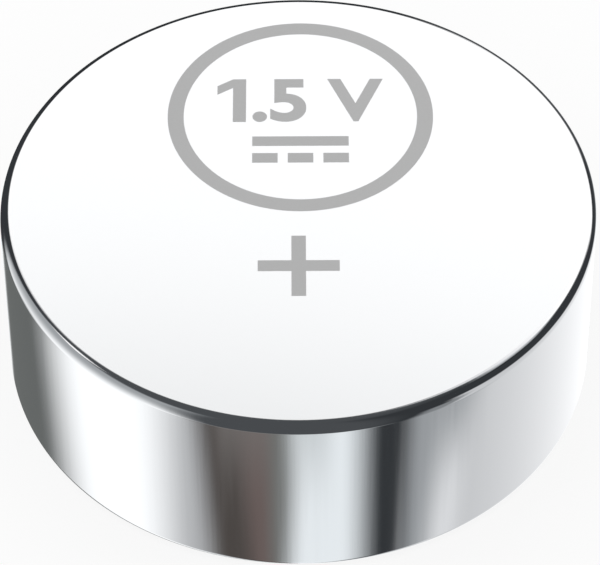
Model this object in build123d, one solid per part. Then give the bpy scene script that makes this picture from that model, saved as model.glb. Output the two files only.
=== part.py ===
"""Alkaline button cell standing on its negative cap, positive face up.

Z is 0 at the cap's contact face and the cell's axis is Z. Every piece is round, so each is drawn as
half of its section, with the radius along X and the height along Y, and turned about the axis.
"""

from build123d import *

import os
from math import cos, radians, sin, sqrt, tan

# Whole cell, in millimetres
cell_diameter = 11.6
cell_height = 4.2

# Positive can: a drawn cup of plated steel, upside down, its rim crimped in under the cell
can_sheet = 0.2
can_edge_radius = 0.2
crimp_radius = 0.15
crimp_reach = 1.0
crimp_lip_slope = 8.0

# Negative cap: a pressed cup whose skirt is folded back outside itself
cap_sheet = 0.2
cap_stand = 0.1
cap_lip_clearance = 0.6
cap_corner_inside = 0.2
cap_bend_inside = 0.15
cap_fold_gap = 0.06

# Sealing gasket: a moulded nylon grommet between the cap and the can
gasket_wall = 0.35
gasket_lip = 0.3
gasket_foot = 0.3
gasket_moat = 0.2
gasket_bead_chamfer = 0.1

# What the cell holds, from the closed end of the can down
cathode_thickness = 1.5
cathode_chamfer = 0.15
separator_thickness = 0.08
absorbent_thickness = 0.22

# A bend that is sealed in is drawn as one flat at 45 degrees, which touches the round it stands for
bend_flat_share = 2 - sqrt(2)

# Radii that pieces share
can_radius = cell_diameter / 2
can_inner_radius = can_radius - can_sheet
hem_radius = can_inner_radius - gasket_wall
hem_inner_radius = hem_radius - cap_sheet
skirt_radius = hem_inner_radius - cap_fold_gap
skirt_inner_radius = skirt_radius - cap_sheet
lip_radius = can_radius - crimp_reach
contact_radius = lip_radius - cap_lip_clearance
contact_inner_radius = contact_radius - cap_sheet

# Heights that pieces share
cathode_top = cell_height - can_sheet
separator_top = cathode_top - cathode_thickness
absorbent_top = separator_top - separator_thickness
gasket_top = absorbent_top - absorbent_thickness
fold_top = gasket_top - gasket_foot


def can_outside():
    """Outside face of the can, from the axis over the closed end, down the wall and in along the lip."""
    base = Line((0, cell_height), (can_radius - can_edge_radius, cell_height))
    edge = JernArc(base @ 1, base % 1, can_edge_radius, -90)
    wall = Line(edge @ 1, (can_radius, cap_stand + crimp_radius))
    curl = JernArc(wall @ 1, wall % 1, crimp_radius, -90 - crimp_lip_slope)
    lip_run = (curl @ 1).X - lip_radius
    lip = PolarLine(curl @ 1, lip_run, direction=curl % 1, length_mode=LengthMode.HORIZONTAL)
    return [base, edge, wall, curl, lip]


# The lip's end is square to its slope, and its inside face runs down and out to the can's wall
lip_slope = radians(crimp_lip_slope)
lip_tip = can_outside()[-1] @ 1
lip_middle = lip_tip + Vector(sin(lip_slope), cos(lip_slope)) * (can_sheet / 2)
lip_inner = lip_tip + Vector(sin(lip_slope), cos(lip_slope)) * can_sheet
crimp_corner = (can_inner_radius, lip_inner.Y - (can_inner_radius - lip_inner.X) * tan(lip_slope))

# The cap's shoulder lies on the gasket, over the highest point of the crimped lip
shoulder_level = lip_inner.Y + gasket_lip
shoulder_top = shoulder_level + cap_sheet


def can_section():
    """Sheet of the can: rounded bends outside, square corners inside."""
    inside = Polyline(
        lip_tip,
        lip_inner,
        crimp_corner,
        (can_inner_radius, cathode_top),
        (0, cathode_top),
        (0, cell_height),
    )
    return make_face(can_outside() + [inside])


def cap_inside():
    """Corners of the cap's inside face, from the axis along the contact to the skirt's inside."""
    corner_flat = bend_flat_share * cap_corner_inside
    step_flat = bend_flat_share * (cap_bend_inside + cap_sheet)
    heel_flat = bend_flat_share * cap_bend_inside
    return [
        (0, cap_sheet),
        (contact_inner_radius - corner_flat, cap_sheet),
        (contact_inner_radius, cap_sheet + corner_flat),
        (contact_inner_radius, shoulder_top - step_flat),
        (contact_inner_radius + step_flat, shoulder_top),
        (skirt_inner_radius - heel_flat, shoulder_top),
        (skirt_inner_radius, shoulder_top + heel_flat),
    ]


def cap_section():
    """Sheet of the cap: contact, boss, shoulder and skirt, folded over and run back down as a hem."""
    corner_radius = cap_corner_inside + cap_sheet
    step_flat = bend_flat_share * cap_bend_inside
    heel_flat = bend_flat_share * (cap_bend_inside + cap_sheet)
    fold_flat = bend_flat_share * (cap_sheet + cap_fold_gap / 2)
    contact = Line((0, 0), (contact_radius - corner_radius, 0))
    corner = JernArc(contact @ 1, contact % 1, corner_radius, 90)
    outside = Polyline(
        corner @ 1,
        (contact_radius, shoulder_level - step_flat),
        (contact_radius + step_flat, shoulder_level),
        (skirt_radius - heel_flat, shoulder_level),
        (skirt_radius, shoulder_level + heel_flat),
        (skirt_radius, fold_top - cap_sheet),
        (hem_inner_radius, fold_top - cap_sheet),
        (hem_inner_radius, shoulder_level),
        (hem_radius, shoulder_level),
        (hem_radius, fold_top - fold_flat),
        (hem_radius - fold_flat, fold_top),
        (skirt_inner_radius + fold_flat, fold_top),
        (skirt_inner_radius, fold_top - fold_flat),
        *reversed(cap_inside()),
        (0, 0),
    )
    return make_face([contact, corner, outside])


def gasket_section():
    """Grommet that wraps the cap's hem and fills the crimp, with a bead that shows inside the lip's end."""
    bead_radius = contact_radius + gasket_moat
    outline = Polyline(
        (bead_radius, shoulder_level),
        (bead_radius, lip_middle.Y + gasket_bead_chamfer),
        (bead_radius + gasket_bead_chamfer, lip_middle.Y),
        lip_middle,
        lip_inner,
        crimp_corner,
        (can_inner_radius, gasket_top),
        (skirt_inner_radius, gasket_top),
        (skirt_inner_radius, fold_top),
        (hem_radius, fold_top),
        (hem_radius, shoulder_level),
        close=True,
    )
    return make_face(outline)


def anode_section():
    """Gel that fills the cap, bounded by its inside face and by the absorbent disc."""
    outline = Polyline(*cap_inside(), (skirt_inner_radius, gasket_top), (0, gasket_top), close=True)
    return make_face(outline)


def turned(section):
    """Solid turned about the cell's axis from half of its section."""
    return revolve(Plane.XZ * section, axis=Axis.Z)


def disc_under(top, thickness):
    """Round disc across the inside of the can, hanging down from a height."""
    align = (Align.CENTER, Align.CENTER, Align.MAX)
    return Pos(0, 0, top) * Cylinder(can_inner_radius, thickness, align=align)


def cathode_pellet():
    """Pressed pellet against the can's closed end, its upper edge chamfered to slide into the can."""
    pellet = disc_under(cathode_top, cathode_thickness)
    upper_edge = pellet.edges().sort_by(Axis.Z)[-1]
    return chamfer(upper_edge, cathode_chamfer)


nodes = {
    "positive_can": turned(can_section()),
    "negative_cap": turned(cap_section()),
    "sealing_gasket": turned(gasket_section()),
    "cathode_pellet": cathode_pellet(),
    "separator_disc": disc_under(separator_top, separator_thickness),
    "absorbent_disc": disc_under(absorbent_top, absorbent_thickness),
    "zinc_anode": turned(anode_section()),
}

os.makedirs("parts", exist_ok=True)
for name, solid in nodes.items():
    export_step(solid, f"parts/{name}.step")
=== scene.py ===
from collections import namedtuple
from math import cos, pi, radians, sin, sqrt, tan

import bmesh
import bpy
from bpy.props import FloatProperty, FloatVectorProperty, PointerProperty
from mathutils import Matrix, Vector


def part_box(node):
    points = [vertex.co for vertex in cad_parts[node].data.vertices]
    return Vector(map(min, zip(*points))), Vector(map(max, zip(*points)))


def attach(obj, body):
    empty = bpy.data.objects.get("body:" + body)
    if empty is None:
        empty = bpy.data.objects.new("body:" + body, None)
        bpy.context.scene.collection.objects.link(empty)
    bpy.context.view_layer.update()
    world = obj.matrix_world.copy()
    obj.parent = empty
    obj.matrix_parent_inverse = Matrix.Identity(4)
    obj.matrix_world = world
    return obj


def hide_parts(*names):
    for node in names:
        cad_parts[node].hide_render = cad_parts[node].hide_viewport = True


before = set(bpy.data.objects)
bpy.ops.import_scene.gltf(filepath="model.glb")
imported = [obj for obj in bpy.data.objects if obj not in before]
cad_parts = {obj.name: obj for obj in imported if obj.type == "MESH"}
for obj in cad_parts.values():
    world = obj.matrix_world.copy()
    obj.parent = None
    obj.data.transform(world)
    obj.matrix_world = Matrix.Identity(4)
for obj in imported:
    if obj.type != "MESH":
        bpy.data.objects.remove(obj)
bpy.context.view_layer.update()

bl_info = {
    "name": "Button cell",
    "version": (1, 0, 0),
    "blender": (4, 5, 0),
    "location": "3D View > Sidebar > Button cell",
    "description": "Dresses the CAD frame of an alkaline button cell and sets it in a small studio",
    "category": "Object",
}

MM = 0.001

# Lowest and highest corners of the nodes that new pieces stand for
CAN_LOW, CAN_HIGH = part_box("positive_can")
CAP_LOW, CAP_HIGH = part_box("negative_cap")
GASKET_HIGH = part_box("sealing_gasket")[1]

TURN_STEPS = 256
BEND_SEGMENTS = 16
LIP_EDGE_SEGMENTS = 4
SHARP_ANGLE = radians(40)
MERGE_DISTANCE = 0.00001 * MM

# A bend that is sealed in is one flat at 45 degrees, which touches the round that it stands for
BEND_FLAT_SHARE = 2 - sqrt(2)


def linear(hex_code):
    """Linear colour of an sRGB hex value."""
    channels = [int(hex_code[i:i + 2], 16) / 255 for i in (1, 3, 5)]
    return [c / 12.92 if c <= 0.04045 else ((c + 0.055) / 1.055) ** 2.4 for c in channels]


def length(name, millimetres, description):
    """A length that a user can change, given in millimetres."""
    return FloatProperty(
        name=name, description=description, default=millimetres * MM, unit="LENGTH", precision=5, min=0
    )


def angle(name, degrees, description):
    """An angle that a user can change, given in degrees."""
    return FloatProperty(name=name, description=description, default=radians(degrees), subtype="ANGLE")


def face_point(name, millimetres, description):
    """A point on the positive face that a user can change, given in millimetres."""
    return FloatVectorProperty(
        name=name, description=description, default=[c * MM for c in millimetres], size=2, unit="LENGTH"
    )


def colour(name, hex_code, description):
    """A colour that a user can change, given as an sRGB hex value."""
    return FloatVectorProperty(
        name=name, description=description, default=linear(hex_code), subtype="COLOR", size=3, min=0, max=1
    )


class CellSizes(bpy.types.PropertyGroup):
    """Sheets, bends and clearances of the pieces, which start from the CAD nodes' boxes."""

    can_sheet: length("Can sheet", 0.2, "Thickness of the can's steel")
    can_edge_radius: length("Can edge radius", 0.2, "Round between the positive face and the wall")
    crimp_radius: length("Crimp radius", 0.15, "Round between the wall and the crimped lip")
    crimp_reach: length("Crimp reach", 1.0, "How far the lip runs in from the wall's outside")
    crimp_lip_slope: angle("Lip slope", 8, "Rise of the lip towards its end")
    lip_burr_radius: length("Lip edge radius", 0.03, "Small round on the sheared end of the lip")
    cap_sheet: length("Cap sheet", 0.2, "Thickness of the cap's steel")
    cap_lip_clearance: length("Cap to lip", 0.6, "Clear width between the cap's boss and the can's lip")
    cap_corner_inside: length("Cap corner", 0.2, "Inside radius between the contact and the boss")
    cap_bend_inside: length("Cap bend", 0.15, "Inside radius of the bends that the gasket hides")
    cap_fold_gap: length("Fold gap", 0.06, "Gap between the cap's skirt and its folded hem")
    gasket_lip: length("Gasket lip", 0.3, "Thickness of the gasket over the can's lip")
    gasket_moat: length("Gasket moat", 0.2, "Open ring between the cap's boss and the gasket")
    gasket_bead_radius: length("Gasket bead", 0.1, "Round on the bead that shows inside the lip")


class CellMarks(bpy.types.PropertyGroup):
    """Marks that are etched into the positive face."""

    thickness: length("Mark thickness", 0.003, "How far the etched skin stands on the face")
    plus_span: length("Plus span", 1.57, "Length of the two bars of the plus sign")
    plus_stroke: length("Plus stroke", 0.278, "Width of the bars")
    plus_place: face_point("Plus place", (0, -1.71), "Middle of the plus sign")
    ring_diameter: length("Ring diameter", 5.26, "Outside of the ring round the voltage")
    ring_stroke: length("Ring stroke", 0.315, "Width of the ring's line")
    ring_place: face_point("Ring place", (0.045, 2.36), "Middle of the ring")
    rating_height: length("Rating height", 1.2, "Height of the voltage's figures")
    rating_stroke: length("Rating stroke", 0.26, "Width of the strokes in the voltage and the current sign")
    rating_rise: length("Rating rise", 0.42, "How far the voltage's middle stands above the ring's middle")
    current_width: length("Current sign width", 1.9, "Length of the direct-current sign's bar")
    current_drop: length("Current sign drop", 0.72, "How far the bar stands below the ring's middle")
    current_gap: length("Current sign gap", 0.2, "Clear width over the dashes and between them")


class CellFinish(bpy.types.PropertyGroup):
    """Colours of the materials."""

    nickel: colour("Nickel plate", "#E6E6E7", "Bright nickel on the can's wall and edges")
    satin: colour("Satin nickel", "#F7F8F9", "Scattering nickel on the can's positive face")
    cap_steel: colour("Cap steel", "#DCDBD8", "Clad sheet of the cap")
    nylon: colour("Nylon", "#CECBBF", "Natural moulded nylon of the gasket")
    mark: colour("Etched mark", "#B6B6B6", "Dulled skin of the marks")
    cathode: colour("Cathode mix", "#32302F", "Pressed oxide and graphite")
    separator: colour("Separator film", "#E6E0D2", "Regenerated cellulose film")
    absorbent: colour("Absorbent felt", "#E6E5E0", "Soaked non-woven felt")
    zinc: colour("Zinc gel", "#92959A", "Zinc grains in gel")


class CellStage(bpy.types.PropertyGroup):
    """Camera, floor and light."""

    camera_distance: length("Camera distance", 77.37, "From the middle of the positive face to the camera")
    camera_elevation: angle("Camera elevation", 46.191, "Height of the camera over the positive face")
    camera_aim: FloatVectorProperty(
        name="Camera aim", description="Point that the camera looks at",
        default=(0.023 * MM, -2.15 * MM, CAN_HIGH.z), size=3, subtype="TRANSLATION", unit="LENGTH",
    )
    camera_roll: angle("Camera roll", -0.23, "Turn of the camera about its own line of sight")
    camera_lens: FloatProperty(
        name="Lens", description="Focal length on a 36 mm wide sensor", default=238.85, unit="CAMERA"
    )
    floor_size: length("Floor size", 400, "Side of the square floor")
    floor_gap: length("Floor gap", 0.02, "Clear height between the floor and the cell's contact")
    floor: colour("Floor", "#FEFEFE", "Plain pale floor")
    floor_shadow: FloatProperty(
        name="Floor shadow", description="How much of the cell's soft shadow the floor shows",
        default=0.15, subtype="FACTOR", min=0, max=1,
    )
    light_level: FloatProperty(
        name="Light level", description="Plain soft light on matte pieces", default=1.0, min=0
    )


Corner = namedtuple("Corner", "radius height bend segments", defaults=(0, BEND_SEGMENTS))


def hidden_bend(radius, height, bend):
    """Corner of a section whose bend is sealed in and drawn as one flat."""
    return Corner(radius, height, BEND_FLAT_SHARE * bend, 1)


def bevel_reach(before, corner, after, bend):
    """How far along its two edges the round of a corner reaches."""
    turn = (corner.co - before.co).angle(after.co - corner.co)
    return bend * tan(turn / 2)


def turned_shell(name, corners, on_axis):
    """Closed shell turned about the cell's axis from the corners of half its section.

    A section that meets the axis starts and ends on it, and any other is a closed loop.
    """
    bm = bmesh.new()
    verts = [bm.verts.new((corner.radius, 0, corner.height)) for corner in corners]
    ends = verts[1:] if on_axis else verts[1:] + verts[:1]
    for start, end in zip(verts, ends):
        bm.edges.new((start, end))
    # All reaches are measured before the first bevel takes a corner away
    rounds = []
    for i, corner in enumerate(corners):
        if corner.bend:
            after = verts[(i + 1) % len(verts)]
            reach = corner.bend
            if corner.segments > 1:
                reach = bevel_reach(verts[i - 1], verts[i], after, corner.bend)
            rounds.append((verts[i], reach, corner.segments))
    for vert, reach, segments in rounds:
        bmesh.ops.bevel(
            bm, geom=[vert], offset=reach, offset_type="OFFSET", segments=segments, profile=0.5,
            affect="VERTICES", material=-1,
        )
    bmesh.ops.spin(
        bm, geom=bm.verts[:] + bm.edges[:], cent=(0, 0, 0), axis=(0, 0, 1), angle=2 * pi, steps=TURN_STEPS,
        use_merge=True,
    )
    bmesh.ops.remove_doubles(bm, verts=bm.verts, dist=MERGE_DISTANCE)
    bmesh.ops.recalc_face_normals(bm, faces=bm.faces)
    for face in bm.faces:
        face.smooth = True
    for edge in bm.edges:
        edge.smooth = edge.calc_face_angle(0) < SHARP_ANGLE
    shell = piece_from(bm, name)
    weighted = shell.modifiers.new("Flat faces stay flat", "WEIGHTED_NORMAL")
    weighted.keep_sharp = True
    return shell


def piece_from(bm, name):
    """New object at the origin that holds a finished bmesh."""
    mesh = bpy.data.meshes.new(name)
    bm.to_mesh(mesh)
    bm.free()
    piece = bpy.data.objects.new(name, mesh)
    bpy.context.scene.collection.objects.link(piece)
    return piece


def dress(piece, material, slot, *nodes):
    """Gives a new piece its material, and sets it on the cell in place of CAD nodes. The slot is not used.
    """
    piece.data.materials.append(material)
    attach(piece, "root")
    if nodes:
        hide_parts(*nodes)


def lip_corners(sizes):
    """Corners of the can's lip: under the wall, at its end's tip, middle and inside, and in the crimp."""
    slope = sizes.crimp_lip_slope
    wall = CAN_HIGH.x
    tangent = sizes.crimp_radius * tan((pi / 2 + slope) / 2)
    corner = Vector((wall, CAN_LOW.z + sizes.crimp_radius - tangent))
    tip = corner + Vector((-1, tan(slope))) * sizes.crimp_reach
    across = Vector((sin(slope), cos(slope))) * sizes.can_sheet
    inside = tip + across
    inner_wall = wall - sizes.can_sheet
    crimp = Vector((inner_wall, inside.y - (inner_wall - inside.x) * tan(slope)))
    return corner, tip, tip + across / 2, inside, crimp


def add_node(tree, kind, inputs=None, **settings):
    """Adds a node. Each input is a plain value, or a socket to link from."""
    node = tree.nodes.new(kind)
    for name, value in settings.items():
        setattr(node, name, value)
    for key, value in (inputs or {}).items():
        if isinstance(value, bpy.types.NodeSocket):
            tree.links.new(value, node.inputs[key])
        else:
            node.inputs[key].default_value = value
    return node


def new_material(name):
    """Empty material with its node tree, the output and the object coordinates."""
    material = bpy.data.materials.new(name)
    material.use_nodes = True
    tree = material.node_tree
    tree.nodes.clear()
    output = add_node(tree, "ShaderNodeOutputMaterial")
    place = add_node(tree, "ShaderNodeTexCoord").outputs["Object"]
    return material, tree, output, place


# Values between which nearly all of a noise texture lies
NOISE_LOW, NOISE_HIGH = 0.3, 0.7

# Noise of a grained material: its detail, the share that its finer layers add, and its relief's strength
GRAIN_DETAIL, GRAIN_FINE_SHARE, GRAIN_RELIEF = 4.0, 0.6, 0.4


def metal_surface(tree, output, pattern, base, metallic, roughness, relief, specular=0.5):
    """Metal whose roughness follows a pattern, which also stands up from the surface.

    Roughness is given at the pattern's low and high ends, and relief as its strength and its depth.
    Specular is the white shine of the share that scatters light.
    """
    smooth, rough = roughness
    strength, depth = relief
    gloss = add_node(
        tree, "ShaderNodeMapRange",
        {
            "Value": pattern, "From Min": NOISE_LOW, "From Max": NOISE_HIGH,
            "To Min": smooth, "To Max": rough,
        },
    )
    raised = add_node(
        tree, "ShaderNodeBump", {"Height": pattern, "Strength": strength, "Distance": depth}
    )
    shader = add_node(
        tree, "ShaderNodeBsdfPrincipled",
        {
            "Base Color": (*base, 1), "Metallic": metallic, "Roughness": gloss.outputs[0],
            "Specular IOR Level": specular, "Normal": raised.outputs[0],
        },
    )
    tree.links.new(shader.outputs[0], output.inputs["Surface"])


def nickel_plated_steel(base):
    """Bright nickel on deep-drawn steel: a clear mirror with faint lines along the draw of the wall."""
    # Real draw lines are finer: these are as coarse as they need to be to show
    line_width, line_length, line_depth = 0.12 * MM, 4 * MM, 0.002 * MM
    material, tree, output, place = new_material("nickel_plated_steel")
    along = add_node(
        tree, "ShaderNodeMapping",
        {"Vector": place, "Scale": (1 / line_width, 1 / line_width, 1 / line_length)},
    )
    lines = add_node(tree, "ShaderNodeTexNoise", {"Vector": along.outputs[0], "Scale": 1.0, "Detail": 3.0})
    metal_surface(
        tree, output, lines.outputs["Fac"], base, metallic=1.0, roughness=(0.05, 0.08),
        relief=(0.2, line_depth),
    )
    return material


def satin_nickel(base):
    """Nickel on the flat end, left satin: its fine pits scatter light, so it is pale from every side."""
    # Real pits are finer: these are as coarse as they need to be to show
    pit_width, pit_depth = 0.05 * MM, 0.001 * MM
    material, tree, output, place = new_material("satin_nickel")
    pits = add_node(tree, "ShaderNodeTexNoise", {"Vector": place, "Scale": 1 / pit_width, "Detail": 2.0})
    metal_surface(
        tree, output, pits.outputs["Fac"], base, metallic=0.3, roughness=(0.13, 0.17),
        relief=(0.02, pit_depth), specular=0.0,
    )
    return material


def pressed_clad_steel(base):
    """Pressed sheet, left satin: it scatters light and shows the rings of the tool that ironed it flat."""
    # Real tool rings are finer: these are as coarse as they need to be to show
    ring_pitch, ring_depth = 0.09 * MM, 0.004 * MM
    material, tree, output, place = new_material("pressed_clad_steel")
    flat = add_node(tree, "ShaderNodeMapping", {"Vector": place, "Scale": (1, 1, 0)})
    radius = add_node(tree, "ShaderNodeVectorMath", {0: flat.outputs[0]}, operation="LENGTH")
    rings = add_node(
        tree, "ShaderNodeTexNoise", {"W": radius.outputs["Value"], "Scale": 1 / ring_pitch, "Detail": 2.0},
        noise_dimensions="1D",
    )
    metal_surface(
        tree, output, rings.outputs["Fac"], base, metallic=0.45, roughness=(0.2, 0.3),
        relief=(0.1, ring_depth), specular=0.0,
    )
    return material


def grained(name, base, dark, grain, roughness, relief_depth, metallic=0.0):
    """Dull material whose colour and surface vary with a grain of a given size."""
    material, tree, output, place = new_material(name)
    noise = add_node(
        tree, "ShaderNodeTexNoise",
        {"Vector": place, "Scale": 1 / grain, "Detail": GRAIN_DETAIL, "Roughness": GRAIN_FINE_SHARE},
    )
    tone = add_node(
        tree, "ShaderNodeMix",
        {"Factor": noise.outputs["Fac"], "A": (*(c * dark for c in base), 1), "B": (*base, 1)},
        data_type="RGBA",
    )
    relief = add_node(
        tree, "ShaderNodeBump",
        {"Height": noise.outputs["Fac"], "Strength": GRAIN_RELIEF, "Distance": relief_depth},
    )
    shader = add_node(
        tree, "ShaderNodeBsdfPrincipled",
        {
            "Base Color": tone.outputs["Result"], "Metallic": metallic, "Roughness": roughness,
            "Normal": relief.outputs[0],
        },
    )
    tree.links.new(shader.outputs[0], output.inputs["Surface"])
    return material


def moulded_nylon(base):
    """Natural nylon from a mould: waxy and creamy, with a faint mottle."""
    return grained(
        "moulded_nylon", base, dark=0.88, grain=0.3 * MM, roughness=0.45, relief_depth=0.004 * MM
    )


def laser_etched_skin(base):
    """Nickel dulled by a laser: an even grey that keeps some of the metal's shine."""
    return grained(
        "laser_etched_skin", base, dark=0.94, grain=0.06 * MM, roughness=0.35, relief_depth=0.001 * MM,
        metallic=0.3,
    )


def pressed_oxide_mix(base):
    """Oxide and graphite pressed to a pellet: nearly black, dull and crumbly."""
    return grained(
        "pressed_oxide_mix", base, dark=0.5, grain=0.08 * MM, roughness=0.75, relief_depth=0.02 * MM
    )


def cellulose_film(base):
    """Thin film of cellulose: smooth, creamy and almost even."""
    return grained(
        "cellulose_film", base, dark=0.9, grain=0.5 * MM, roughness=0.4, relief_depth=0.004 * MM
    )


def nonwoven_felt(base):
    """Felt soaked with electrolyte: pale and matte, with a coarse nap."""
    return grained(
        "nonwoven_felt", base, dark=0.75, grain=0.12 * MM, roughness=0.9, relief_depth=0.04 * MM
    )


def zinc_gel(base):
    """Zinc grains in gel: grey, wet and gritty."""
    return grained("zinc_gel", base, dark=0.5, grain=0.15 * MM, roughness=0.35, relief_depth=0.03 * MM)


class BUTTONCELL_OT_can(bpy.types.Operator):
    """Turns the can: closed end, rounded edge, wall and crimped lip"""

    bl_idname = "button_cell.can"
    bl_label = "Can"

    def execute(self, context):
        sizes = context.scene.cell_sizes
        corner, tip, _, inside, crimp = lip_corners(sizes)
        inner_top = CAN_HIGH.z - sizes.can_sheet
        corners = [
            Corner(0, CAN_HIGH.z),
            Corner(CAN_HIGH.x, CAN_HIGH.z, sizes.can_edge_radius),
            Corner(*corner, sizes.crimp_radius),
            Corner(*tip, sizes.lip_burr_radius, LIP_EDGE_SEGMENTS),
            Corner(*inside),
            Corner(*crimp),
            Corner(crimp.x, inner_top),
            Corner(0, inner_top),
        ]
        can = turned_shell("can_shell", corners, on_axis=True)
        finish = context.scene.cell_finish
        dress(can, nickel_plated_steel(finish.nickel), "can_nickel_steel", "positive_can")
        can.data.materials.append(satin_nickel(finish.satin))
        for face in can.data.polygons:
            if face.center.z > CAN_HIGH.z - MERGE_DISTANCE:
                face.material_index = 1
        return {"FINISHED"}


class BUTTONCELL_OT_cap(bpy.types.Operator):
    """Turns the cap: contact, boss, shoulder, skirt and folded hem"""

    bl_idname = "button_cell.cap"
    bl_label = "Cap"

    def execute(self, context):
        sizes = context.scene.cell_sizes
        sheet, bend = sizes.cap_sheet, sizes.cap_bend_inside
        inside = lip_corners(sizes)[3]
        shoulder = inside.y + sizes.gasket_lip
        contact = CAN_HIGH.x - sizes.crimp_reach - sizes.cap_lip_clearance
        hem, fold = CAP_HIGH.x, CAP_HIGH.z
        skirt = hem - sheet - sizes.cap_fold_gap
        fold_bend = sheet + sizes.cap_fold_gap / 2
        corners = [
            Corner(0, 0),
            Corner(contact, 0, sizes.cap_corner_inside + sheet),
            hidden_bend(contact, shoulder, bend),
            hidden_bend(skirt, shoulder, bend + sheet),
            Corner(skirt, fold - sheet),
            Corner(hem - sheet, fold - sheet),
            Corner(hem - sheet, shoulder),
            Corner(hem, shoulder),
            hidden_bend(hem, fold, fold_bend),
            hidden_bend(skirt - sheet, fold, fold_bend),
            hidden_bend(skirt - sheet, shoulder + sheet, bend),
            hidden_bend(contact - sheet, shoulder + sheet, bend + sheet),
            hidden_bend(contact - sheet, sheet, sizes.cap_corner_inside),
            Corner(0, sheet),
        ]
        cap = turned_shell("cap_shell", corners, on_axis=True)
        finish = context.scene.cell_finish
        dress(cap, pressed_clad_steel(finish.cap_steel), "cap_clad_steel", "negative_cap")
        return {"FINISHED"}


class BUTTONCELL_OT_gasket(bpy.types.Operator):
    """Turns the gasket that seals the cap in the can"""

    bl_idname = "button_cell.gasket"
    bl_label = "Gasket"

    def execute(self, context):
        sizes = context.scene.cell_sizes
        _, _, middle, inside, crimp = lip_corners(sizes)
        shoulder = inside.y + sizes.gasket_lip
        contact = CAN_HIGH.x - sizes.crimp_reach - sizes.cap_lip_clearance
        bead = contact + sizes.gasket_moat
        hem, fold = CAP_HIGH.x, CAP_HIGH.z
        skirt_inside = hem - 2 * sizes.cap_sheet - sizes.cap_fold_gap
        corners = [
            Corner(bead, shoulder),
            Corner(bead, middle.y, sizes.gasket_bead_radius),
            Corner(*middle),
            Corner(*inside),
            Corner(*crimp),
            Corner(crimp.x, GASKET_HIGH.z),
            Corner(skirt_inside, GASKET_HIGH.z),
            Corner(skirt_inside, fold),
            Corner(hem, fold),
            Corner(hem, shoulder),
        ]
        gasket = turned_shell("gasket_ring", corners, on_axis=False)
        finish = context.scene.cell_finish
        dress(gasket, moulded_nylon(finish.nylon), "gasket_nylon", "sealing_gasket")
        return {"FINISHED"}


class BUTTONCELL_OT_contents(bpy.types.Operator):
    """Gives the sealed-in pellet, discs and gel their materials"""

    bl_idname = "button_cell.contents"
    bl_label = "Contents"

    def execute(self, context):
        finish = context.scene.cell_finish
        materials = {
            "cathode_pellet": pressed_oxide_mix(finish.cathode),
            "separator_disc": cellulose_film(finish.separator),
            "absorbent_disc": nonwoven_felt(finish.absorbent),
            "zinc_anode": zinc_gel(finish.zinc),
        }
        for name, material in materials.items():
            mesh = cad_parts[name].data
            mesh.materials.clear()
            mesh.materials.append(material)
        return {"FINISHED"}


# Voltage on the positive face: what follows its one, the letters' extra weight, and the one's own form
RATING_AFTER_ONE = ".5 V"
RATING_WEIGHT = 0.03
ONE_STEPS = 5
ONE_FLAG_SHARES = (0.26, 0.16)


def extent(bm):
    """Lowest and highest corners of the box round a bmesh."""
    places = [vert.co for vert in bm.verts]
    low = Vector([min(place[axis] for place in places) for axis in range(3)])
    high = Vector([max(place[axis] for place in places) for axis in range(3)])
    return low, high


def drawn_verts(extrusion):
    """Vertices that an extrusion made."""
    return [item for item in extrusion["geom"] if isinstance(item, bmesh.types.BMVert)]


def bar(bm, middle, size, steps=1):
    """Adds a flat bar, cut into steps along its height, and gives back its vertices."""
    place = Matrix.Translation((*middle, 0)) @ Matrix.Diagonal((*size, 1, 1))
    return bmesh.ops.create_grid(bm, x_segments=1, y_segments=steps, size=0.5, matrix=place)["verts"]


def plate_mesh(bm, name, thickness):
    """Flat faces at the positive face's height, given the thickness of an etched skin."""
    bmesh.ops.recalc_face_normals(bm, faces=bm.faces)
    raised = bmesh.ops.extrude_face_region(bm, geom=bm.faces[:])
    bmesh.ops.translate(bm, verts=drawn_verts(raised), vec=(0, 0, thickness))
    bmesh.ops.recalc_face_normals(bm, faces=bm.faces)
    for face in bm.faces:
        face.smooth = False
    return piece_from(bm, name)


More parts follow.
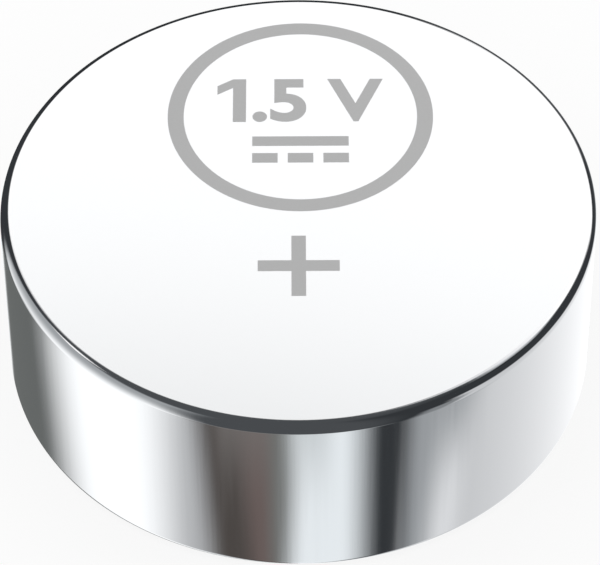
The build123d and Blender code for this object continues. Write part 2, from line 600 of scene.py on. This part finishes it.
class BUTTONCELL_OT_marks(bpy.types.Operator):
    """Etches the plus sign and the ringed voltage into the positive face"""

    bl_idname = "button_cell.marks"
    bl_label = "Marks"

    def execute(self, context):
        marks = context.scene.cell_marks
        etched = laser_etched_skin(context.scene.cell_finish.mark)
        for piece in (self.plus_sign(marks), self.ring(marks), self.rating(marks), self.current(marks)):
            dress(piece, etched, "can_nickel_steel")
        return {"FINISHED"}

    def plus_sign(self, marks):
        """Two crossed bars: a square whose four sides are drawn out."""
        bm = bmesh.new()
        place = Matrix.Translation((*marks.plus_place, CAN_HIGH.z))
        bmesh.ops.create_grid(
            bm, x_segments=1, y_segments=1, size=marks.plus_stroke / 2, matrix=place
        )
        arm = (marks.plus_span - marks.plus_stroke) / 2
        centre = place.translation
        for edge in bm.edges[:]:
            middle = (edge.verts[0].co + edge.verts[1].co) / 2
            drawn = bmesh.ops.extrude_edge_only(bm, edges=[edge])
            out = (middle - centre).normalized()
            bmesh.ops.translate(bm, verts=drawn_verts(drawn), vec=out * arm)
        return plate_mesh(bm, "plus_mark", marks.thickness)

    def ring(self, marks):
        """Flat ring: a circle's edge drawn inwards by the width of its line."""
        bm = bmesh.new()
        place = Matrix.Translation((*marks.ring_place, CAN_HIGH.z))
        outside = marks.ring_diameter / 2
        bmesh.ops.create_circle(bm, segments=TURN_STEPS, radius=outside, matrix=place)
        drawn = bmesh.ops.extrude_edge_only(bm, edges=bm.edges[:])
        share = 1 - marks.ring_stroke / outside
        bmesh.ops.scale(bm, vec=(share, share, 1), space=place.inverted(), verts=drawn_verts(drawn))
        return plate_mesh(bm, "rating_ring", marks.thickness)

    def rating(self, marks):
        """Plain voltage: a one with a slanted flag, and the rest in plain letters made a mesh."""
        curve = bpy.data.curves.new("rating_mark", "FONT")
        curve.body = RATING_AFTER_ONE
        curve.offset = RATING_WEIGHT
        letters = bpy.data.objects.new("rating_letters", curve)
        mesh = bpy.data.meshes.new_from_object(letters)
        bpy.data.objects.remove(letters)
        bm = bmesh.new()
        bm.from_mesh(mesh)
        bpy.data.meshes.remove(mesh)
        height, stroke = marks.rating_height, marks.rating_stroke
        low, high = extent(bm)
        fit = Matrix.Scale(height / (high.y - low.y), 4) @ Matrix.Translation(-low)
        bmesh.ops.transform(bm, matrix=fit, verts=bm.verts)
        stem = bar(bm, (-stroke, height / 2), (stroke, height), ONE_STEPS)
        sides = {edge for vert in stem for edge in vert.link_edges}
        upper_left = max(
            sides, key=lambda side: sum(vert.co.y / height - vert.co.x / stroke for vert in side.verts)
        )
        drawn = bmesh.ops.extrude_edge_only(bm, edges=[upper_left])
        run, drop = (height * share for share in ONE_FLAG_SHARES)
        bmesh.ops.translate(bm, verts=drawn_verts(drawn), vec=(-run, -drop, 0))
        low, high = extent(bm)
        x, y = marks.ring_place
        middle = Vector((x, y + marks.rating_rise, CAN_HIGH.z))
        bmesh.ops.translate(bm, verts=bm.verts, vec=middle - (low + high) / 2)
        return plate_mesh(bm, "rating_mark", marks.thickness)

    def current(self, marks):
        """Sign for direct current: a bar over three dashes."""
        bm = bmesh.new()
        x, y = marks.ring_place
        width, stroke, gap = marks.current_width, marks.rating_stroke, marks.current_gap
        bar_height = y - marks.current_drop
        dash = (width - 2 * gap) / 3
        bar(bm, (x, bar_height), (width, stroke))
        for step in (-1, 0, 1):
            bar(bm, (x + step * (dash + gap), bar_height - stroke - gap), (dash, stroke))
        bmesh.ops.translate(bm, verts=bm.verts, vec=(0, 0, CAN_HIGH.z))
        return plate_mesh(bm, "current_mark", marks.thickness)


# Studio that the polished metal mirrors, in degrees. Azimuth is 0 on the camera's side and grows to the
# right, and elevation is 0 at the horizon. An edge is blurred on both sides. A low or high edge that leans
# rises by its lean with each degree to the right of the panel's middle, and a side that leans moves to the
# right by it with each degree up, in the band of elevations that the wall shows the camera. A panel without
# a low edge runs down under the cell, and later panels cover earlier ones.
Edge = namedtuple("Edge", "angle blur lean", defaults=(0,))
Panel = namedtuple("Panel", "name left right low high hex_code level", defaults=(1,))
UNDER_CELL = Edge(-43, 3)
WALL_BAND_MIDDLE, WALL_BAND_REACH = -50, 2
PANELS = (
    Panel("low_sweep", Edge(-200, 1), Edge(200, 1), None, UNDER_CELL, "#F8FAFC", 1.45),
    Panel("left_rear_wall", Edge(-170, 6), Edge(-124, 5), Edge(-38, 8), Edge(52, 8), "#383B3E"),
    Panel("right_wall", Edge(28, 10), Edge(128, 3), Edge(-45, 2), Edge(72, 12), "#383B3E"),
    Panel("left_window", Edge(-121, 5), Edge(-42, 12), None, Edge(51, 7), "#AEB2B5"),
    Panel("left_window_foot", Edge(-121, 5), Edge(-42, 12), None, Edge(-8, 46), "#FCFEFF", 1.32),
    Panel("left_strip_light", Edge(-122, 4), Edge(-102, 5), Edge(50, 3), Edge(58, 3), "#FFFFFF", 1.3),
    Panel("left_rear_card", Edge(-168, 8), Edge(-106, 18, -3.5), None, Edge(-33, 5, 0.28), "#6C6F6E"),
    Panel("left_front_card", Edge(-54.5, 16), Edge(-28, 4), None, UNDER_CELL, "#BFC1C3"),
    Panel("left_front_flag", Edge(-39, 6.5, -2.4), Edge(-10, 8), None, UNDER_CELL, "#524D4A"),
    Panel("left_front_board", Edge(-22.5, 5, -2.5), Edge(0, 8), None, UNDER_CELL, "#726562"),
    Panel("left_front_board_head", Edge(-33, 4), Edge(-6, 6), Edge(-49.7, 0.8), UNDER_CELL, "#817D7B"),
    Panel("left_front_trim", Edge(-11.5, 4), Edge(2, 6), None, UNDER_CELL, "#7A7C7A"),
    Panel("front_reflector", Edge(-1, 6.5, 2), Edge(35, 3), None, UNDER_CELL, "#F6FCFF", 1.07),
    Panel("front_reflector_head", Edge(-4, 6), Edge(12, 6), Edge(-50, 0.7), UNDER_CELL, "#D8DEE0"),
    Panel("right_sweep", Edge(52, 5), Edge(190, 6), None, Edge(-21, 5, -0.47), "#D9DBDD"),
    Panel("right_window", Edge(110, 50), Edge(200, 6), None, Edge(-38, 5, -0.47), "#FDFEFF", 1.16),
    Panel("right_front_wall", Edge(41, 4), Edge(56, 5), None, Edge(-5, 6), "#8C9093"),
    Panel("right_front_card", Edge(41, 4), Edge(62.5, 8, 8), None, UNDER_CELL, "#A5A9AC"),
    Panel("right_front_gleam", Edge(56, 7.5, 3), Edge(69, 6, 4), None, Edge(-49.7, 0.7), "#F2F4F6"),
    Panel("right_front_flag", Edge(24.5, 9), Edge(43.5, 5.5, 1), None, UNDER_CELL, "#383B3E"),
    Panel("back_softbox_wing", Edge(106, 2), Edge(136, 3), Edge(48, 4), Edge(64, 3), "#C4C7CA"),
    Panel("back_softbox_head", Edge(134, 2), Edge(169, 3), Edge(40, 5), Edge(63, 2), "#F0F2F4"),
    Panel(
        "back_softbox", Edge(128, 6), Edge(205, 6), Edge(18, 6, 0.44), Edge(54, 7, -0.12), "#FFFFFF", 1.35
    ),
    Panel("right_rear_flag", Edge(116, 6), Edge(148, 6), Edge(-12, 6), Edge(19, 5), "#383B3E"),
    Panel("back_wall", Edge(170, 5), Edge(205, 6), Edge(-45, 2), Edge(31, 4), "#303336"),
)
ROOM_HEX = "#505356"

# Background behind the cell: white up to the horizon, and dimmer overhead, over some degrees, so that
# bright metal stands out against it when it is seen from below
OVERHEAD_LEVEL = 0.68
OVERHEAD_BLEND = 10
WHITE = (1, 1, 1, 1)

# Camera's sensor in millimetres, and its clipping as shares of its distance
SENSOR_WIDTH = 36
CLIP_NEAR_SHARE, CLIP_FAR_SHARE = 0.1, 100


class BUTTONCELL_OT_stage(bpy.types.Operator):
    """Sets the floor, the light and the camera"""

    bl_idname = "button_cell.stage"
    bl_label = "Stage"

    def execute(self, context):
        stage = context.scene.cell_stage
        self.floor(stage)
        self.light(context.scene, stage)
        self.camera(context.scene, stage)
        context.scene.view_settings.view_transform = "Standard"
        return {"FINISHED"}

    def floor(self, stage):
        """Plain pale floor that keeps the cell's shadow and can be seen through from below."""
        bm = bmesh.new()
        place = Matrix.Translation((0, 0, CAP_LOW.z - stage.floor_gap))
        bmesh.ops.create_grid(bm, x_segments=1, y_segments=1, size=stage.floor_size / 2, matrix=place)
        floor = piece_from(bm, "floor")
        floor.visible_glossy = False
        floor.visible_diffuse = False
        floor.visible_transmission = False
        material, tree, output, _ = new_material("pale_floor")
        matte = add_node(tree, "ShaderNodeBsdfDiffuse", {"Color": (*stage.floor, 1)})
        path = add_node(tree, "ShaderNodeLightPath")
        glow = add_node(
            tree, "ShaderNodeEmission",
            {"Color": (*stage.floor, 1), "Strength": path.outputs["Is Camera Ray"]},
        )
        lit = add_node(
            tree, "ShaderNodeMixShader", {0: stage.floor_shadow, 1: glow.outputs[0], 2: matte.outputs[0]}
        )
        clear = add_node(tree, "ShaderNodeBsdfTransparent")
        side = add_node(tree, "ShaderNodeNewGeometry").outputs["Backfacing"]
        shown = add_node(tree, "ShaderNodeMixShader", {0: side, 1: lit.outputs[0], 2: clear.outputs[0]})
        tree.links.new(shown.outputs[0], output.inputs["Surface"])
        floor.data.materials.append(material)

    def light(self, scene, stage):
        """Pale background, plain soft light on matte pieces, and the panels that metal mirrors."""
        world = bpy.data.worlds.new("small_studio")
        world.use_nodes = True
        world.cycles.sampling_method = "NONE"
        tree = world.node_tree
        tree.nodes.clear()
        turn, rise = self.sight(tree)
        overhead = add_node(
            tree, "ShaderNodeMapRange",
            {
                "Value": rise, "From Min": 0.0, "From Max": radians(OVERHEAD_BLEND),
                "To Min": 1.0, "To Max": OVERHEAD_LEVEL,
            },
        )
        path = add_node(tree, "ShaderNodeLightPath").outputs
        mirrored = add_node(
            tree, "ShaderNodeMath", {0: path["Is Glossy Ray"], 1: path["Is Transmission Ray"]},
            operation="MAXIMUM",
        )
        plain = add_node(tree, "ShaderNodeBackground", {"Color": WHITE, "Strength": stage.light_level})
        backdrop = add_node(tree, "ShaderNodeBackground", {"Color": WHITE, "Strength": overhead.outputs[0]})
        panels = add_node(
            tree, "ShaderNodeBackground", {"Color": self.studio(tree, turn, rise), "Strength": 1.0}
        )
        behind = add_node(
            tree, "ShaderNodeMixShader",
            {0: path["Is Camera Ray"], 1: plain.outputs[0], 2: backdrop.outputs[0]},
        )
        both = add_node(
            tree, "ShaderNodeMixShader",
            {0: mirrored.outputs[0], 1: behind.outputs[0], 2: panels.outputs[0]},
        )
        add_node(tree, "ShaderNodeOutputWorld", {"Surface": both.outputs[0]})
        scene.world = world

    def sight(self, tree):
        """Azimuth and elevation that a ray looks at, in radians."""
        way = add_node(tree, "ShaderNodeTexCoord").outputs["Generated"]
        axes = add_node(tree, "ShaderNodeSeparateXYZ", {0: way}).outputs
        front = add_node(tree, "ShaderNodeMath", {0: axes["Y"], 1: -1.0}, operation="MULTIPLY")
        turn = add_node(tree, "ShaderNodeMath", {0: axes["X"], 1: front.outputs[0]}, operation="ARCTAN2")
        rise = add_node(tree, "ShaderNodeMath", {0: axes["Z"]}, operation="ARCSINE")
        return turn.outputs[0], rise.outputs[0]

    def studio(self, tree, turn, rise):
        """Colour that metal mirrors: a bare room, covered by one panel after another."""
        lift = add_node(
            tree, "ShaderNodeMapRange",
            {
                "Value": rise,
                "From Min": radians(WALL_BAND_MIDDLE - WALL_BAND_REACH),
                "From Max": radians(WALL_BAND_MIDDLE + WALL_BAND_REACH),
                "To Min": radians(-WALL_BAND_REACH), "To Max": radians(WALL_BAND_REACH),
            },
        )
        seen = (*linear(ROOM_HEX), 1)
        for panel in PANELS:
            inside = self.panel_mask(tree, panel, turn, rise, lift.outputs[0])
            shade = (*(c * panel.level for c in linear(panel.hex_code)), 1)
            mixed = add_node(
                tree, "ShaderNodeMix", {"Factor": inside, "A": seen, "B": shade}, data_type="RGBA"
            )
            mixed.name = panel.name
            seen = mixed.outputs["Result"]
        return seen

    def panel_mask(self, tree, panel, turn, rise, lift):
        """1 inside a panel and 0 outside it, with soft borders."""
        middle = (panel.left.angle + panel.right.angle) / 2
        offset = add_node(tree, "ShaderNodeMath", {0: turn, 1: radians(middle)}, operation="SUBTRACT")
        across = add_node(
            tree, "ShaderNodeMath", {0: offset.outputs[0], 1: pi, 2: -pi}, operation="WRAP"
        ).outputs[0]
        borders = [
            (panel.left, 1, across, lift, middle),
            (panel.right, -1, across, lift, middle),
            (panel.low, 1, rise, across, 0),
            (panel.high, -1, rise, across, 0),
        ]
        mask = 1.0
        for edge, inward, along, aside, zero in borders:
            if not edge:
                continue
            leaned = add_node(
                tree, "ShaderNodeMath", {0: aside, 1: -edge.lean, 2: along}, operation="MULTIPLY_ADD"
            )
            place, blur = edge.angle - zero, inward * edge.blur
            inside = add_node(
                tree, "ShaderNodeMapRange",
                {
                    "Value": leaned.outputs[0],
                    "From Min": radians(place - blur), "From Max": radians(place + blur),
                    "To Min": 0.0, "To Max": 1.0,
                },
                interpolation_type="SMOOTHSTEP",
            )
            mask = add_node(
                tree, "ShaderNodeMath", {0: inside.outputs[0], 1: mask}, operation="MULTIPLY"
            ).outputs[0]
        return mask

    def camera(self, scene, stage):
        """Camera at the photograph's place, with a long lens."""
        data = bpy.data.cameras.new("camera")
        data.sensor_fit = "HORIZONTAL"
        data.sensor_width = SENSOR_WIDTH
        data.lens = stage.camera_lens
        data.clip_start = stage.camera_distance * CLIP_NEAR_SHARE
        data.clip_end = stage.camera_distance * CLIP_FAR_SHARE
        camera = bpy.data.objects.new("camera", data)
        scene.collection.objects.link(camera)
        rise = stage.camera_elevation
        back = Vector((0, -cos(rise), sin(rise))) * stage.camera_distance
        camera.location = back + Vector((0, 0, CAN_HIGH.z))
        sight = Vector(stage.camera_aim) - camera.location
        roll = Matrix.Rotation(stage.camera_roll, 4, "Z")
        turn = sight.to_track_quat("-Z", "Y").to_matrix().to_4x4() @ roll
        camera.rotation_euler = turn.to_euler()
        scene.camera = camera


class BUTTONCELL_PT_panel(bpy.types.Panel):
    """Lists the cell's sizes, colours and operators"""

    bl_idname = "BUTTONCELL_PT_panel"
    bl_label = "Button cell"
    bl_space_type = "VIEW_3D"
    bl_region_type = "UI"
    bl_category = "Button cell"

    def draw(self, context):
        for operator in OPERATORS:
            self.layout.operator(operator.bl_idname)
        for name, group in GROUPS.items():
            box = self.layout.box()
            settings = getattr(context.scene, name)
            for setting in group.__annotations__:
                box.prop(settings, setting)


GROUPS = {
    "cell_sizes": CellSizes,
    "cell_marks": CellMarks,
    "cell_finish": CellFinish,
    "cell_stage": CellStage,
}
OPERATORS = (
    BUTTONCELL_OT_can,
    BUTTONCELL_OT_cap,
    BUTTONCELL_OT_gasket,
    BUTTONCELL_OT_contents,
    BUTTONCELL_OT_marks,
    BUTTONCELL_OT_stage,
)


def register():
    """Registers the classes and hangs the settings on the scene."""
    for group in (*GROUPS.values(), *OPERATORS, BUTTONCELL_PT_panel):
        bpy.utils.register_class(group)
    for name, group in GROUPS.items():
        setattr(bpy.types.Scene, name, PointerProperty(type=group))


def unregister():
    """Takes the settings and the classes away again."""
    for name in GROUPS:
        delattr(bpy.types.Scene, name)
    for group in (BUTTONCELL_PT_panel, *reversed(OPERATORS), *GROUPS.values()):
        bpy.utils.unregister_class(group)


def main():
    """Builds the pieces and the stage."""
    register()
    bpy.ops.button_cell.can()
    bpy.ops.button_cell.cap()
    bpy.ops.button_cell.gasket()
    bpy.ops.button_cell.contents()
    bpy.ops.button_cell.marks()
    bpy.ops.button_cell.stage()


if __name__ == "__main__":
    main()
